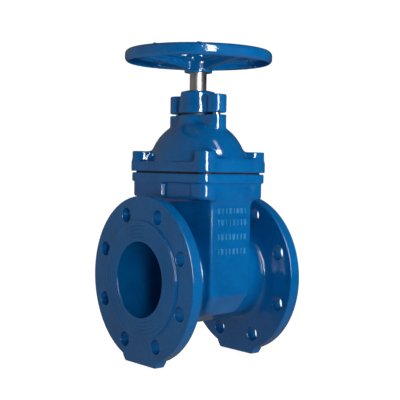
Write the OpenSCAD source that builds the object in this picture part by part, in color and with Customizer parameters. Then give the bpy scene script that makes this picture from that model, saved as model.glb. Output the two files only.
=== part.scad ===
// Resilient-seated wedge gate valve, DN 100, flanged, non-rising stem, with handwheel.
// X is the pipe axis, Z the stem axis, and the origin is where they cross.
// The wedge is drawn fully open, up inside the bonnet.

/* [Pipe ends] */
// Bore of the valve
bore_d = 100; // [98:0.5:101]
// Distance between the two sealing faces
face_to_face = 190; // [190:1:210]
// Outside diameter of an end flange
flange_d = 220; // [216:1:224]
// Thickness of an end flange, raised face included
flange_t = 19; // [17:0.5:22]
// Diameter of the bolt circle
bolt_circle_d = 180; // [178:0.5:182]
// Number of bolt holes in an end flange
bolt_count = 8; // [4, 8]
// Diameter of a bolt hole
bolt_hole_d = 19; // [16:0.5:20]
// Diameter of the raised face
raised_d = 156; // [150:1:158]
// Height of the raised face
raised_h = 3; // [2:0.5:4]

/* [Wedge chamber] */
// Outside diameter of the pipe barrel
barrel_d = 120; // [118:1:124]
// Thickness of the chamber along the pipe
chamber_l = 71; // [70:1:76]
// Width of the chamber across the pipe
chamber_w = 148.6; // [147:0.2:152]
// Height of the joint between body and bonnet
joint_z = 140; // [139:0.5:142]
// Length of the square top flange along the pipe
top_l = 112; // [110:1:118]
// Width of the square top flange across the pipe
top_w = 165; // [164:1:170]
// Corner radius of the square top flange
top_r = 14; // [10:1:16]

/* [Bonnet] */
// Thickness of the gasket
gasket_t = 2; // [1.5:0.5:2.5]
// Thickness of the bonnet's flange
bonnet_flange_t = 13.5; // [12:0.5:15]
// Height of the top of the corner bosses
boss_z = 169.5; // [168:0.5:172]
// Height of the top of the bonnet's neck
neck_z = 218.9; // [218:0.1:220]
// Diameter of the neck
neck_d = 49.5; // [48:0.5:52]

/* [Wedge] */
// Radius of the rubber-covered wedge
wedge_r = 54; // [53:0.2:54]
// Half thickness of the wedge on the pipe axis, when closed
wedge_half_t = 20; // [18:0.5:21]
// Lean of the sealing faces, in degrees
wedge_angle = 4; // [3:0.5:5]
// Thickness of the rubber
rubber_t = 4; // [3:0.5:5]

/* [Stem drive] */
// Diameter of the stem's plain shank
stem_d = 23; // [22:0.5:24]
// Outside diameter of the thread
thread_d = 22; // [20:0.5:22]
// Lead of the thread, one start
lead = 5; // [5]
// Turns of the handwheel from open to closed
turns = 22; // [22]
// Gap between parts that move past each other
gap = 0.3; // [0.2:0.05:0.4]
// Radial gap of a shaft in its bearing
running_fit = 0.08; // [0.05:0.01:0.1]

/* [Handwheel] */
// Outside diameter of the handwheel
wheel_d = 200; // [180:5:220]
// Number of spokes
spoke_count = 4; // [3:1:5]

/* [Colours] */
// Epoxy coat on the castings
paint = "#0a5fa5";
// Stainless steel
steel = "#b8b4ae";
// Brass
brass = "#c8a24a";
// Rubber
rubber = "#17181a";
// Moulded plastic
plastic = "#d9d6c8";
// Hot-melt plugs
hot_melt = "#2b6ba8";

/* [Hidden] */
$fn = 96;
eps = 0.01;
over = 1;

flange_x = face_to_face / 2;
flange_back_x = flange_x - flange_t;
foot_z = flange_d / 2 + 2;
stroke = lead * turns;

// The body's top end
top_flange_t = 12;
box_inset = 3;
box_low_z = 107;
bolt_x = top_l / 2 - top_r;
bolt_y = top_w / 2 - top_r;
m12_head_d = 18;
m12_d = 12;
m12_head_h = 12;
counterbore_d = 20;
head_seat_z = joint_z + gasket_t + 14;
bonnet_bolt_l = 40;
bolt_tap_l = 26;

// The wedge's cavity
cavity_r = wedge_r + gap;
cavity_half_l = 28.4;
cavity_half_w = 67;
seat_top_z = 62;
rail_half_t = 4;
rail_y = 60.5;
shoe_low_z = -9;
shoe_high_z = 46;

// The bonnet
bonnet_low_z = joint_z + gasket_t;
bonnet_ledge_z = bonnet_low_z + bonnet_flange_t;
dome_z = 147;
dome_h = 67;
dome_half_l = 54.5;
dome_half_w = 81.5;
wall = 8;
neck_floor_z = 205;
ceiling_z = 196;
lug_y = 40;
lug_r = 13;
m10_d = 10;
m10_head_d = 16;
m10_head_h = 10;
m10_counterbore_d = 17;
gland_bolt_l = 30;

// The gland
gland_z = neck_z + 2.7;
gland_top_z = 251.5;
gland_d = 50;
gland_lug_top_z = 246;
gland_seat_z = gland_lug_top_z - 13;
bush_d = 34;
bush_low_z = neck_z - 2.6;
bush_high_z = 245;
ring_d = 3;

// The stem
collar_d = 36;
washer_t = 2;
collar_low_z = neck_floor_z + washer_t + gap;
collar_high_z = bush_low_z - washer_t - gap;
stem_low_z = 53;
thread_top_z = 198;
thread_root_d = thread_d - lead;
square_w = 16;

// The wheel
hub_low_z = 276.6;
hub_top_z = 297;
rim_low_z = 289;
rim_top_z = 307;
hub_d = 32;
hub_foot_d = 38;
rim_wall = 4.5;
rim_w = 17;
spoke_t = 7;
wheel_bolt_l = 22;
wheel_washer_t = 2.5;
wheel_washer_d = 30;
hex_af = 17;
hex_h = 6.4;

// The wedge, drawn at its closed height and lifted by the stroke
nut_low_z = 54;
nut_high_z = 82;
nut_half_l = 15;
nut_half_w = 17;
stem_hole_d = 27;
wedge_top_z = 62;

// ---------------------------------------------------------------- shared shapes

// A cylinder along X, centred on the origin
module along_x(d, l) {
    rotate([0, 90, 0]) cylinder(d = d, h = l, center = true);
}

// A rectangle with round corners, centred on the origin
module round_rect(l, w, r) {
    square([l - 2 * r, w], center = true);
    square([l, w - 2 * r], center = true);
    for (x = [-1, 1], y = [-1, 1])
        translate([x * (l / 2 - r), y * (w / 2 - r)]) circle(r);
}

// A round-cornered plate from z1 up to z2
module plate(l, w, r, z1, z2) {
    translate([0, 0, z1]) linear_extrude(z2 - z1) round_rect(l, w, r);
}

// A ring about the Z axis, from z1 up to z2
module ring(outer_d, inner_d, z1, z2) {
    translate([0, 0, z1]) rotate_extrude()
        translate([inner_d / 2, 0]) square([(outer_d - inner_d) / 2, z2 - z1]);
}

// A ring of round section about the Z axis
module o_ring(centre_r, section_d, z) {
    translate([0, 0, z]) rotate_extrude() translate([centre_r, 0]) circle(d = section_d, $fn = 32);
}

// An outline drawn in Y and Z, extruded to the length l along X
module across(l) {
    rotate([90, 0, 90]) translate([0, 0, -l / 2]) linear_extrude(l) children();
}

// An outline drawn in X and Z, extruded to the width w along Y
module through(w) {
    rotate([90, 0, 0]) translate([0, 0, -w / 2]) linear_extrude(w) children();
}

module at_bonnet_bolts() {
    for (x = [-1, 1], y = [-1, 1]) translate([x * bolt_x, y * bolt_y, 0]) children();
}

module at_gland_bolts() {
    for (y = [-1, 1]) translate([0, y * lug_y, 0]) children();
}

// A socket head screw, its head standing on z = 0
module socket_screw(d, l, head_d, head_h, socket_af) {
    difference() {
        union() {
            translate([0, 0, -l]) cylinder(d = d, h = l + eps);
            cylinder(d = head_d, h = head_h);
        }
        translate([0, 0, head_h / 2]) cylinder(d = socket_af / cos(30), h = head_h, $fn = 6);
    }
}

// ---------------------------------------------------------------- body

// One drilled end flange with its foot, on the +X side
module end_flange() {
    plain_t = flange_t - raised_h;
    foot_half_w = 33;
    foot_flare = 6;
    translate([flange_back_x, 0, 0]) rotate([0, 90, 0]) cylinder(d = flange_d, h = plain_t);
    translate([flange_back_x, 0, 0]) rotate([0, 90, 0]) cylinder(d = raised_d, h = flange_t);
    // The neck that widens into the flange
    translate([flange_back_x - 6, 0, 0]) rotate([0, 90, 0])
        cylinder(d1 = barrel_d, d2 = barrel_d + 10, h = 6 + eps);
    translate([flange_back_x + plain_t / 2, 0, 0]) across(plain_t) polygon([
        [-foot_half_w - foot_flare, -flange_d / 2 + 14],
        [-foot_half_w - foot_flare, -foot_z + 8],
        [-foot_half_w, -foot_z],
        [foot_half_w, -foot_z],
        [foot_half_w + foot_flare, -foot_z + 8],
        [foot_half_w + foot_flare, -flange_d / 2 + 14]
    ]);
}

// The concentric grooves in one raised face
module face_grooves() {
    for (d = [112 : 10 : 142])
        rotate([0, 90, 0]) ring(d + 1.2, d, flange_x - 0.6, flange_x + over);
}

// The bolt holes through the flange on the +X side
module flange_holes() {
    for (i = [0 : bolt_count - 1])
        rotate([(i + 0.5) * 360 / bolt_count, 0, 0])
            translate([flange_back_x - over, bolt_circle_d / 2, 0])
                rotate([0, 90, 0]) cylinder(d = bolt_hole_d, h = flange_t + 2 * over);
}

// Outside of the wedge chamber, below the square top
module chamber() {
    half_l = chamber_l / 2;
    half_w = chamber_w / 2;
    edge = 5;
    top = box_low_z + 5;
    intersection() {
        across(chamber_l) polygon([
            [-half_w, top], [-half_w, -20], [-57, -46], [-36, -53], [0, -58],
            [36, -53], [57, -46], [half_w, -20], [half_w, top]
        ]);
        translate([0, 0, -60]) linear_extrude(top + 60) polygon([
            [-half_l, -half_w + edge], [-half_l + edge, -half_w],
            [half_l - edge, -half_w], [half_l, -half_w + edge],
            [half_l, half_w - edge], [half_l - edge, half_w],
            [-half_l + edge, half_w], [-half_l, half_w - edge]
        ]);
        through(chamber_w) polygon([
            [-half_l, top], [-half_l, -24], [-24, -58], [24, -58], [half_l, -24], [half_l, top]
        ]);
    }
}

// The four-cornered top of the body, with a relief in each long side
module top_box() {
    slope_h = 5;
    slope_l = 6;
    relief_depth = 5;
    relief_w = 62;
    relief_y = -23;
    relief_x = top_l / 2 - box_inset - relief_depth;
    relief_top_z = joint_z - top_flange_t;
    plate(top_l, top_w, top_r, joint_z - top_flange_t, joint_z);
    difference() {
        plate(top_l - 2 * box_inset, top_w - 2 * box_inset, top_r - box_inset, box_low_z, joint_z - 1);
        for (x = [0, 1]) mirror([x, 0, 0])
            translate([relief_x, relief_y - relief_w / 2, box_low_z - over])
                cube([relief_depth + over, relief_w, relief_top_z - box_low_z + over]);
    }
    // The slope under the box
    intersection() {
        through(chamber_w) polygon([
            [-chamber_l / 2, box_low_z - slope_h], [chamber_l / 2, box_low_z - slope_h],
            [chamber_l / 2 + slope_l, box_low_z + eps], [-chamber_l / 2 - slope_l, box_low_z + eps]
        ]);
        plate(top_l - 2 * box_inset, chamber_w, top_r - box_inset, box_low_z - slope_h, box_low_z + eps);
    }
}

// Space for the wedge, from below the pipe axis up to the joint
module wedge_cavity() {
    lean = tan(wedge_angle);
    seat_low = wedge_half_t + gap - lean * (cavity_r + over);
    seat_high = wedge_half_t + gap + lean * seat_top_z;
    side_low_z = shoe_low_z - 3;
    intersection() {
        through(2 * cavity_half_w) polygon([
            [-seat_low, -cavity_r - over], [seat_low, -cavity_r - over],
            [seat_high, seat_top_z], [cavity_half_l, seat_top_z + 4],
            [cavity_half_l, joint_z + over], [-cavity_half_l, joint_z + over],
            [-cavity_half_l, seat_top_z + 4], [-seat_high, seat_top_z]
        ]);
        union() {
            along_x(2 * cavity_r, 2 * cavity_half_l);
            across(2 * cavity_half_l) translate([-cavity_half_w, side_low_z])
                square([2 * cavity_half_w, joint_z + over - side_low_z]);
        }
    }
}

// The two rails that the wedge's shoes slide on
module guide_rails() {
    for (y = [-1, 1])
        translate([-rail_half_t, y > 0 ? rail_y : -cavity_half_w - over, shoe_low_z - 4])
            cube([2 * rail_half_t, cavity_half_w + over - rail_y, joint_z - 2 - shoe_low_z + 4]);
}

module body() {
    color(paint) {
        difference() {
            union() {
                along_x(barrel_d, 2 * flange_back_x);
                for (side = [0, 1]) mirror([side, 0, 0]) end_flange();
                chamber();
                top_box();
            }
            wedge_cavity();
            along_x(bore_d, face_to_face + 2 * over);
            for (side = [0, 1]) mirror([side, 0, 0]) {
                flange_holes();
                face_grooves();
            }
            at_bonnet_bolts() translate([0, 0, joint_z - bolt_tap_l]) cylinder(d = m12_d, h = bolt_tap_l + over);
        }
        guide_rails();
    }
}

// ---------------------------------------------------------------- bonnet

module bonnet_gasket() {
    outer_inset = 4;
    color(rubber) difference() {
        plate(top_l - 2 * outer_inset, top_w - 2 * outer_inset, top_r, joint_z, bonnet_low_z);
        plate(2 * cavity_half_l, 2 * cavity_half_w, 6, joint_z - over, bonnet_low_z + over);
        at_bonnet_bolts() translate([0, 0, joint_z - over]) cylinder(d = 13, h = gasket_t + 2 * over);
    }
}

// The part of an ellipsoid between z1 and z2, thinner by inset
module dome(inset, z1, z2) {
    intersection() {
        translate([0, 0, dome_z])
            scale([dome_half_l - inset, dome_half_w - inset, dome_h - inset]) sphere(1);
        translate([-top_l, -top_w, z1]) cube([2 * top_l, 2 * top_w, z2 - z1]);
    }
}

module bonnet_lug() {
    translate([0, lug_y, neck_z - 34]) cylinder(r = lug_r, h = 34);
    translate([-lug_r + 2, 0, neck_z - 34]) cube([2 * lug_r - 4, lug_y, 34]);
}

module bonnet() {
    color(paint) difference() {
        union() {
            plate(top_l, top_w, top_r, bonnet_low_z, bonnet_ledge_z);
            dome(0, bonnet_low_z, dome_z + dome_h + over);
            at_bonnet_bolts() translate([0, 0, bonnet_low_z]) cylinder(r = top_r, h = boss_z - bonnet_low_z);
            translate([0, 0, neck_z - 26]) cylinder(d = neck_d, h = 26);
            for (y = [0, 1]) mirror([0, y, 0]) bonnet_lug();
        }
        dome(wall, bonnet_low_z - over, ceiling_z);
        cylinder(d = 27, h = neck_z + over);
        translate([0, 0, neck_floor_z]) cylinder(d = 40, h = 20);
        at_bonnet_bolts() {
            cylinder(d = 13, h = boss_z + over);
            translate([0, 0, head_seat_z]) cylinder(d = counterbore_d, h = 20);
        }
        at_gland_bolts() translate([0, 0, neck_z - 20]) cylinder(d = m10_d, h = 20 + over);
    }
}

module bonnet_bolts() {
    color(steel) at_bonnet_bolts() translate([0, 0, head_seat_z])
        socket_screw(m12_d, bonnet_bolt_l, m12_head_d, m12_head_h, 10);
}

module bolt_seal_plugs() {
    color(hot_melt) at_bonnet_bolts()
        translate([0, 0, head_seat_z + m12_head_h]) cylinder(d = counterbore_d, h = 1.5);
}

// ---------------------------------------------------------------- gland

module gland_housing() {
    skirt_z = gland_z + 10.4;
    color(paint) difference() {
        union() {
            translate([0, 0, gland_z]) cylinder(d = gland_d, h = skirt_z - gland_z);
            translate([0, 0, skirt_z]) cylinder(d = gland_d - 1.5, h = 249.5 - skirt_z);
            translate([0, 0, 249.5]) cylinder(d1 = gland_d - 1.5, d2 = 34, h = gland_top_z - 249.5);
            for (y = [-1, 1]) {
                translate([0, y * lug_y, gland_z]) cylinder(r = lug_r, h = gland_lug_top_z - gland_z);
                translate([-lug_r + 2, y > 0 ? 0 : -lug_y, gland_z])
                    cube([2 * lug_r - 4, lug_y, gland_lug_top_z - gland_z]);
            }
        }
        translate([0, 0, gland_z - over]) cylinder(d = bush_d + 2 * running_fit, h = bush_high_z - gland_z + over);
        translate([0, 0, bush_high_z - eps]) cylinder(d = 33, h = 10);
        at_gland_bolts() {
            translate([0, 0, gland_z - over]) cylinder(d = 11, h = 40);
            translate([0, 0, gland_seat_z]) cylinder(d = m10_counterbore_d, h = 20);
        }
    }
}

module gland_seal_ring() {
    color(rubber) ring(46, 40, neck_z, gland_z);
}

module gland_bolts() {
    color(steel) at_gland_bolts() translate([0, 0, gland_seat_z])
        socket_screw(m10_d, gland_bolt_l, m10_head_d, m10_head_h, 8);
}

module gland_bolt_plugs() {
    color(hot_melt) at_gland_bolts()
        translate([0, 0, gland_seat_z + m10_head_h]) cylinder(d = m10_counterbore_d, h = 2.5);
}

module lower_thrust_washer() {
    color(plastic) ring(39.6, stem_d + 1, neck_floor_z, neck_floor_z + washer_t);
}

module upper_thrust_washer() {
    color(plastic) ring(39.6, stem_d + 1, bush_low_z - washer_t, bush_low_z);
}

// Flanged bush with two grooves inside and two outside
module stem_bush() {
    color(brass) rotate_extrude() difference() {
        polygon([
            [stem_d / 2 + running_fit, bush_low_z], [19.8, bush_low_z], [19.8, gland_z],
            [bush_d / 2, gland_z], [bush_d / 2, bush_high_z], [stem_d / 2 + running_fit, bush_high_z]
        ]);
        for (z = [229, 237]) {
            translate([stem_d / 2 + running_fit - over, z - ring_d / 2]) square([ring_d - 0.4 + over, ring_d]);
            translate([bush_d / 2 - ring_d + 0.4, z + 4 - ring_d / 2]) square([ring_d, ring_d]);
        }
    }
}

module stem_o_rings() {
    section = ring_d - 0.6;
    color(rubber) for (z = [229, 237]) o_ring(stem_d / 2 + 0.15 + section / 2, section, z);
}

module bush_o_rings() {
    section = ring_d - 0.6;
    color(rubber) for (z = [233, 241]) o_ring(bush_d / 2 - section / 2, section, z);
}

module wiper_ring() {
    color(rubber) ring(33, stem_d + 2 * gap, bush_high_z, gland_top_z + 0.6);
}

module stem_back_seal() {
    color(rubber) ring(27, stem_d + 2 * gap, 197, neck_floor_z - 0.5);
}

// ---------------------------------------------------------------- stem and handwheel

// Ridges of the thread, drawn as rings
module thread_rings() {
    count = floor((thread_top_z - stem_low_z) / lead) - 1;
    tooth = lead / 4;
    root_r = thread_root_d / 2;
    for (i = [0 : count]) translate([0, 0, stem_low_z + 1 + i * lead]) rotate_extrude() polygon([
        [root_r - 1, 0], [root_r, 0], [thread_d / 2, tooth],
        [thread_d / 2, 2 * tooth], [root_r, 3 * tooth], [root_r - 1, 3 * tooth]
    ]);
}

module stem() {
    color(steel) difference() {
        union() {
            translate([0, 0, stem_low_z]) cylinder(d = thread_root_d, h = thread_top_z - stem_low_z + eps);
            thread_rings();
            translate([0, 0, thread_top_z]) cylinder(d = stem_d, h = hub_low_z - thread_top_z);
            translate([0, 0, collar_low_z]) cylinder(d = collar_d, h = collar_high_z - collar_low_z);
            translate([-square_w / 2, -square_w / 2, hub_low_z - eps])
                cube([square_w, square_w, hub_top_z - 1 - hub_low_z]);
        }
        translate([0, 0, hub_top_z - 28]) cylinder(d = m10_d, h = 40);
    }
}

// One spoke: an upright web with a flat strap along its top
module spoke() {
    strap_w = 15;
    strap_t = 3.5;
    reach = wheel_d / 2 - rim_wall / 2;
    root = hub_d / 2 - 3;
    through(spoke_t) polygon([
        [root, 279.5], [reach, 292.5], [reach, 303], [root, 296.5]
    ]);
    through(strap_w) polygon([
        [root, 296.5 - strap_t], [reach, 303 - strap_t], [reach, 303], [root, 296.5]
    ]);
}

module handwheel() {
    rim_r = wheel_d / 2;
    crown = 2;
    color(paint) difference() {
        union() {
            rotate_extrude() polygon([
                [rim_r - crown, rim_top_z], [rim_r, rim_top_z - crown], [rim_r, rim_low_z],
                [rim_r - rim_wall, rim_low_z], [rim_r - rim_wall, rim_top_z - 5],
                [rim_r - rim_w + 4, rim_top_z - 5], [rim_r - rim_w + 4, rim_top_z - 10],
                [rim_r - rim_w, rim_top_z - 10], [rim_r - rim_w, rim_top_z - crown],
                [rim_r - rim_w + crown, rim_top_z]
            ]);
            for (i = [0 : spoke_count - 1]) rotate([0, 0, i * 360 / spoke_count]) spoke();
            translate([0, 0, hub_low_z]) cylinder(d = hub_foot_d, h = 3.4);
            translate([0, 0, hub_low_z]) cylinder(d = hub_d, h = hub_top_z - hub_low_z);
        }
        translate([-square_w / 2 - 0.05, -square_w / 2 - 0.05, hub_low_z - over])
            cube([square_w + 0.1, square_w + 0.1, hub_top_z - hub_low_z + 2 * over]);
    }
}

module handwheel_washer() {
    color(steel) ring(wheel_washer_d, m10_d + 1, hub_top_z, hub_top_z + wheel_washer_t);
}

module handwheel_bolt() {
    seat_z = hub_top_z + wheel_washer_t;
    color(steel) {
        translate([0, 0, seat_z - wheel_bolt_l]) cylinder(d = m10_d, h = wheel_bolt_l + eps);
        translate([0, 0, seat_z]) cylinder(d = hex_af / cos(30), h = hex_h, $fn = 6);
    }
}

// ---------------------------------------------------------------- wedge

// The wedge's outline, with both faces leaning, shrunk by inset
module wedge_block(inset) {
    lean = tan(wedge_angle);
    r = wedge_r - inset;
    high = wedge_top_z - inset;
    low_half_t = wedge_half_t - inset - lean * r;
    high_half_t = wedge_half_t - inset + lean * high;
    intersection() {
        through(2 * r) polygon([
            [-low_half_t, -r], [low_half_t, -r], [high_half_t, high], [-high_half_t, high]
        ]);
        union() {
            along_x(2 * r, 80);
            across(80) translate([-r, 0]) square([2 * r, high]);
        }
    }
}

// The stem's channel and the slot that holds the nut
module wedge_hollow() {
    translate([0, 0, -wedge_r - over]) cylinder(d = stem_hole_d, h = 2 * wedge_r + 20);
    translate([-nut_half_l - 0.2, -nut_half_w - 0.2, nut_low_z])
        cube([2 * nut_half_l + 0.4, 2 * nut_half_w + 0.4, 40]);
}

module wedge_core() {
    color("#5b5e60") translate([0, 0, stroke]) difference() {
        wedge_block(rubber_t);
        wedge_hollow();
    }
}

module wedge_rubber() {
    color(rubber) translate([0, 0, stroke]) difference() {
        wedge_block(0);
        wedge_block(rubber_t);
        wedge_hollow();
    }
}

module wedge_nut() {
    color(brass) translate([0, 0, stroke]) difference() {
        union() {
            translate([-nut_half_l, -nut_half_w, nut_low_z])
                cube([2 * nut_half_l, 2 * nut_half_w, 12]);
            translate([0, 0, nut_low_z]) cylinder(d = 29, h = nut_high_z - nut_low_z);
        }
        translate([0, 0, nut_low_z - over])
            cylinder(d = thread_d + 2 * running_fit, h = nut_high_z - nut_low_z + 2 * over);
    }
}

// A plastic shoe on each side, slotted for the body's rail
module wedge_guide_shoes() {
    shoe_half_t = 9;
    outer_y = cavity_half_w - 0.6;
    color(plastic) translate([0, 0, stroke]) for (y = [0, 1]) mirror([0, y, 0]) difference() {
        translate([-shoe_half_t, wedge_r, shoe_low_z])
            cube([2 * shoe_half_t, outer_y - wedge_r, shoe_high_z - shoe_low_z]);
        translate([-rail_half_t - gap, rail_y - gap, shoe_low_z - over])
            cube([2 * (rail_half_t + gap), 20, shoe_high_z - shoe_low_z + 2 * over]);
    }
}

body();
bonnet();
bonnet_gasket();
bonnet_bolts();
bolt_seal_plugs();
gland_housing();
gland_seal_ring();
gland_bolts();
gland_bolt_plugs();
lower_thrust_washer();
upper_thrust_washer();
stem_bush();
bush_o_rings();
stem_o_rings();
wiper_ring();
stem_back_seal();
stem();
handwheel();
handwheel_washer();
handwheel_bolt();
wedge_core();
wedge_rubber();
wedge_nut();
wedge_guide_shoes();
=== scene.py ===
"""Looks of a DN 100 flanged gate valve. Shapes are worked out in millimetres in the CAD frame."""
import math

import bmesh
import bpy
import numpy as np
from mathutils import Matrix, Vector

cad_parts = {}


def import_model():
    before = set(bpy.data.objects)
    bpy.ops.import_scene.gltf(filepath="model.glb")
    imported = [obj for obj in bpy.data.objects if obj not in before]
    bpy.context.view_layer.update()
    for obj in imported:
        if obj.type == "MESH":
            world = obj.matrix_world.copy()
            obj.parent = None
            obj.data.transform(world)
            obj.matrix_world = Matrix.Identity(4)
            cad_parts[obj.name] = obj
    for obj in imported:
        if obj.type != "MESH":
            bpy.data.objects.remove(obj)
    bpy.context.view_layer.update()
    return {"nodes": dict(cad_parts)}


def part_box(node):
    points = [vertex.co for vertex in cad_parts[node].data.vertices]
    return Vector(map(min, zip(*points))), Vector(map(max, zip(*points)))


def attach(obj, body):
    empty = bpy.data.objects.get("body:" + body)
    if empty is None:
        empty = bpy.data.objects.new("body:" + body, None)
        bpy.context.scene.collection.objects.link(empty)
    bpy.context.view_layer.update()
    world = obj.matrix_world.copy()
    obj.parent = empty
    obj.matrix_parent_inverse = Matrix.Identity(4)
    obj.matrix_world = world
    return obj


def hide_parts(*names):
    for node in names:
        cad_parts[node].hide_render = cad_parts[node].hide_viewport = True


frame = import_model()

MM = 0.001
COARSE = 1.0


# ---------------------------------------------------------------- sizes, from the frame

def extent(node):
    """Lowest and highest corner of a CAD node, in millimetres."""
    low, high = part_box(node)
    return Vector(low) / MM, Vector(high) / MM


BODY_LOW, BODY_HIGH = extent("body")
BONNET_LOW, BONNET_HIGH = extent("bonnet")
GLAND_LOW, GLAND_HIGH = extent("gland_housing")
WHEEL_LOW, WHEEL_HIGH = extent("handwheel")
STEM_LOW, STEM_HIGH = extent("stem")
PLUG_LOW, PLUG_HIGH = extent("bolt_seal_plugs")
GLAND_PLUG_LOW, GLAND_PLUG_HIGH = extent("gland_bolt_plugs")
WASHER_LOW, WASHER_HIGH = extent("handwheel_washer")
HEX_LOW, HEX_HIGH = extent("handwheel_bolt")
RUBBER_LOW, RUBBER_HIGH = extent("wedge_rubber")

# End flanges and barrel
BORE_R = 50
FLANGE_T = 19
FLANGE_R = BODY_HIGH.y - 0.1
FACE_X = BODY_HIGH.x
RAISED_H = 3
RAISED_R = 78
GROOVE_RADII = (71, 66, 61, 56)
BACK_X = FACE_X - FLANGE_T
FLANGE_OVERLAP = 8
BOLT_CIRCLE_R = 90
BOLT_HOLE_R = 9.5
BARREL_R = 60
SHOULDER_X = 66
NECK_FILLET_R = BARREL_R + 11.8
FOOT_HALF_W = 39
FOOT_TOP_Z = -FLANGE_R + 18
FOOT_Z = BODY_LOW.z

# Chamber and its square top
CHAMBER_X = 35.5
CHAMBER_Y = 74.3
BOX_Z = 107
RELIEF_HALF_W = 31
RELIEF_Y = -23
TOP_Z = BODY_HIGH.z
TOP_X = BONNET_HIGH.x
TOP_Y = BONNET_HIGH.y
CORNER_R = 14
BOLT_X = TOP_X - CORNER_R
BOLT_Y = TOP_Y - CORNER_R
CORNERS = [(x, y) for x in (-BOLT_X, BOLT_X) for y in (-BOLT_Y, BOLT_Y)]

# Cast pads on the broad sides
PAD_ROWS = (92, 77, 58, 39)
PAD_PITCH = 6.5
PAD_X = 3
PAD_H = 1.5

# Bonnet and gland
LEDGE_Z = BONNET_LOW.z + 13.5
BOSS_Z = PLUG_HIGH.z
DOME_Z = 147
DOME = (54.5, 81.5, 67)
NECK_Z = BONNET_HIGH.z
NECK_R = 24.75
LUG_Y = 40
LUG_R = 13
GLAND_WEB_W = 9
CEILING_Z = 196
COUNTERBORE_R = 10
LUG_COUNTERBORE_R = 8.5

# Stem and wheel
SHANK_R = 11.5
THREAD_R = 8.6
THREAD_LEAD = 5
SQUARE_HALF_W = 8
WHEEL_R = WHEEL_HIGH.x
RIM_Z = WHEEL_HIGH.z - 0.8
HUB_TOP_Z = WASHER_LOW.z
RIM_HALF_W = 8.5

# Wedge
WEDGE_R = 54
WEDGE_HALF_T = 20
WEDGE_LEAN = math.tan(math.radians(4))


# ---------------------------------------------------------------- distance fields

def smooth_min(a, b, k):
    """Union of two fields, with a fillet of about k / 1.8."""
    h = np.maximum(k - np.abs(a - b), 0) / k
    return np.minimum(a, b) - h ** 3 * k / 6


def smooth_max(a, b, k):
    """Intersection of two fields, with an edge rounded by about k / 1.8."""
    return -smooth_min(-a, -b, k)


def rectangle(x, y, half_x, half_y, r):
    """Distance to a rectangle with corners of radius r."""
    u, v = np.abs(x) - half_x + r, np.abs(y) - half_y + r
    return np.hypot(np.maximum(u, 0), np.maximum(v, 0)) + np.minimum(np.maximum(u, v), 0) - r


def slab(outline, z, z1, z2, r):
    """An outline's field extruded from z1 to z2, its edges rounded by r."""
    return round_corner(outline, np.abs(z - (z1 + z2) / 2) - (z2 - z1) / 2, r)


def round_corner(u, v, r):
    """The corner of two fields, rounded by r."""
    u, v = u + r, v + r
    return np.hypot(np.maximum(u, 0), np.maximum(v, 0)) + np.minimum(np.maximum(u, v), 0) - r


def ellipsoid(x, y, z, radii):
    """About the distance to an ellipsoid at the origin."""
    a, b, c = radii
    k0 = np.sqrt((x / a) ** 2 + (y / b) ** 2 + (z / c) ** 2)
    k1 = np.sqrt((x / a ** 2) ** 2 + (y / b ** 2) ** 2 + (z / c ** 2) ** 2)
    return k0 * (k0 - 1) / np.maximum(k1, 1e-6)


def edge(u, v, from_uv, to_uv):
    """Distance to the line through two points, positive on its right."""
    du, dv = to_uv[0] - from_uv[0], to_uv[1] - from_uv[1]
    return ((u - from_uv[0]) * dv - (v - from_uv[1]) * du) / math.hypot(du, dv)


# ---------------------------------------------------------------- meshes

def to_object(name, points, faces):
    """A new object of the given points, in millimetres."""
    mesh = bpy.data.meshes.new(name)
    mesh.from_pydata((np.asarray(points, float) * MM).tolist(), [], faces)
    mesh.update()
    obj = bpy.data.objects.new(name, mesh)
    bpy.context.scene.collection.objects.link(obj)
    return obj


def skin(name, field, low, high, step):
    """The surface where a field is zero, as a mesh of quads of about the given step."""
    step = step * COARSE
    low = np.array(low, float) - 2 * step
    counts = np.ceil((np.array(high, float) + 2 * step - low) / step).astype(int) + 1
    grid = np.meshgrid(*[low[a] + step * np.arange(counts[a]) for a in range(3)], indexing="ij")
    d = field(*grid)
    inside = d < 0
    full = sum(inside[i:counts[0] - 1 + i, j:counts[1] - 1 + j, k:counts[2] - 1 + k].astype(np.int8)
               for i in (0, 1) for j in (0, 1) for k in (0, 1))
    crossed = (full > 0) & (full < 8)
    index = np.full(crossed.shape, -1)
    index[crossed] = np.arange(crossed.sum())
    total, hits, quads = np.zeros((crossed.sum(), 3)), np.zeros(crossed.sum()), []
    for a in range(3):
        b, c = (a + 1) % 3, (a + 2) % 3
        d0, d1 = np.moveaxis(d, a, 0)[:-1], np.moveaxis(d, a, 0)[1:]
        cut = np.moveaxis((d0 < 0) != (d1 < 0), 0, a)
        start = np.argwhere(cut)
        v0, v1 = np.moveaxis(d0, 0, a)[cut], np.moveaxis(d1, 0, a)[cut]
        where = low + start * step
        where[:, a] += step * v0 / (v0 - v1)
        ring = []
        for back_b, back_c in ((1, 1), (0, 1), (0, 0), (1, 0)):
            cell = start.copy()
            cell[:, b] -= back_b
            cell[:, c] -= back_c
            i = index[tuple(cell.T)]
            np.add.at(total, i, where)
            np.add.at(hits, i, 1)
            ring.append(i)
        ring = np.stack(ring, 1)
        ring[v0 >= 0] = ring[v0 >= 0][:, ::-1]
        quads.append(ring)
    points = total / hits[:, None]
    for _ in range(3):
        value = field(*points.T)
        slope = np.stack([(field(*(points + nudge).T) - value) / 1e-3 for nudge in np.eye(3) * 1e-3], 1)
        size = np.maximum((slope ** 2).sum(1), 0.05)
        points -= np.clip(value / size, -step, step)[:, None] * slope
    return to_object(name, points, np.concatenate(quads).tolist())


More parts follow.
